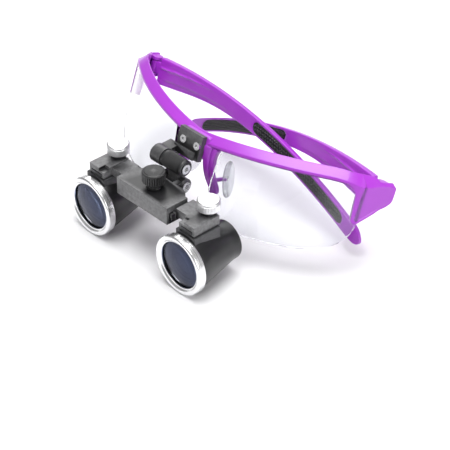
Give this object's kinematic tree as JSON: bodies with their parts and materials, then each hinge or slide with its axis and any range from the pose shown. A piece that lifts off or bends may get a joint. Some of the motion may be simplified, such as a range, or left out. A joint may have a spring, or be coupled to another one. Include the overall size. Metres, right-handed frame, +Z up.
{
  "type": "dental loupes",
  "caption": "Folding spectacle frame carrying two flip-up magnifying barrels with adjustable spacing, viewing angle and reach.",
  "frame": {"origin": "on the surface that the folded loupes rest on, at the middle of their box", "axes": "+X towards the wearer's left, along the brow bar; -Y forward, the way the barrels point; +Z up"},
  "size_m": [0.15, 0.0886, 0.0509],
  "materials": {
    "frame_plastic": "gloss",
    "clear_lens": "gloss",
    "silicone": "satin",
    "black_alloy": "satin",
    "steel": "polished",
    "screw_black": "satin",
    "grip_rubber": "matte",
    "chrome_trim": "polished",
    "knob_plastic": "matte",
    "coated_glass": "gloss",
    "barrel_black": "satin",
    "brass": "satin"
  },
  "bodies": {
    "spectacle": {"front_frame": "frame_plastic", "lens_left": "clear_lens", "lens_right": "clear_lens", "nose_pad_left": "silicone", "nose_pad_right": "silicone", "bridge_plate": "black_alloy", "bridge_screws": "steel", "bridge_inserts": "brass", "temple_pins": "steel"},
    "temple_left": {"temple_left": "frame_plastic", "grip_left": "grip_rubber"},
    "temple_right": {"temple_right": "frame_plastic", "grip_right": "grip_rubber"},
    "flip_link": {"hinge_link": "black_alloy", "friction_washers": "steel", "upper_pivot_screw": "steel", "upper_pivot_nut": "screw_black"},
    "beam": {"beam_channel": "black_alloy", "beam_cover": "knob_plastic", "lower_pivot_screw": "steel", "lower_pivot_nut": "screw_black"},
    "pd_drive": {"pinion": "steel", "pd_knob": "knob_plastic"},
    "arm_left": {"arm_left": "black_alloy", "rack_left": "steel", "clamp_collar_left": "knob_plastic"},
    "clamp_left": {"thumbscrew_left": "chrome_trim"},
    "barrel_left": {"housing_left": "barrel_black", "front_ring_left": "chrome_trim", "objective_left": "coated_glass", "objective_retainer_left": "barrel_black", "spacer_tube_left": "barrel_black", "eyepiece_left": "coated_glass", "eyepiece_ring_left": "barrel_black"},
    "arm_right": {"arm_right": "black_alloy", "rack_right": "steel", "clamp_collar_right": "knob_plastic"},
    "clamp_right": {"thumbscrew_right": "chrome_trim"},
    "barrel_right": {"housing_right": "barrel_black", "front_ring_right": "chrome_trim", "objective_right": "coated_glass", "objective_retainer_right": "barrel_black", "spacer_tube_right": "barrel_black", "eyepiece_right": "coated_glass", "eyepiece_ring_right": "barrel_black"}
  },
  "joints": [
    {"name": "temple_left_fold", "type": "hinge", "parent": "spectacle", "child": "temple_left", "pos_m": [0.069, 0.02974, 0.03558], "axis": [0, -0.342, -0.9397], "range_deg": [0, 84]},
    {"name": "temple_right_fold", "type": "hinge", "parent": "spectacle", "child": "temple_right", "pos_m": [-0.069, 0.02974, 0.03558], "axis": [0, 0.342, 0.9397], "range_deg": [0, 90]},
    {"name": "flip_up", "type": "hinge", "parent": "spectacle", "child": "flip_link", "pos_m": [0, -0.0194, 0.0386], "axis": [-1, 0, 0], "range_deg": [0, 90]},
    {"name": "view_angle", "type": "hinge", "parent": "flip_link", "child": "beam", "pos_m": [0, -0.0194, 0.0298], "axis": [-1, 0, 0], "range_deg": [-2, 15]},
    {"name": "pd_slide_left", "type": "slide", "parent": "beam", "child": "arm_left", "axis": [1, 0, 0], "range_m": [-0.001, 0.007]},
    {"name": "pd_slide_right", "type": "slide", "parent": "beam", "child": "arm_right", "axis": [-1, 0, 0], "range_m": [-0.0011, 0.0071]},
    {"name": "pd_knob_turn", "type": "hinge", "parent": "beam", "child": "pd_drive", "pos_m": [0, -0.0314, 0.035], "axis": [0, 0, 1], "range_deg": [-19.5, 134]},
    {"name": "barrel_slide_left", "type": "slide", "parent": "arm_left", "child": "barrel_left", "axis": [0, -1, 0], "range_m": [-0.0006, 0.003]},
    {"name": "clamp_screw_left", "type": "hinge", "parent": "arm_left", "child": "clamp_left", "pos_m": [0.0283, -0.0267, 0.035], "axis": [0, 0, 1], "range_deg": [0, 180]},
    {"name": "barrel_slide_right", "type": "slide", "parent": "arm_right", "child": "barrel_right", "axis": [0, -1, 0], "range_m": [-0.0006, 0.003]},
    {"name": "clamp_screw_right", "type": "hinge", "parent": "arm_right", "child": "clamp_right", "pos_m": [-0.0283, -0.0267, 0.035], "axis": [0, 0, 1], "range_deg": [0, 180]}
  ],
  "couplings": [
    {"joint": "pd_slide_right", "follows": "pd_slide_left", "ratio": 1},
    {"joint": "pd_knob_turn", "follows": "pd_slide_left", "rad_per_m": 333.33}
  ]
}
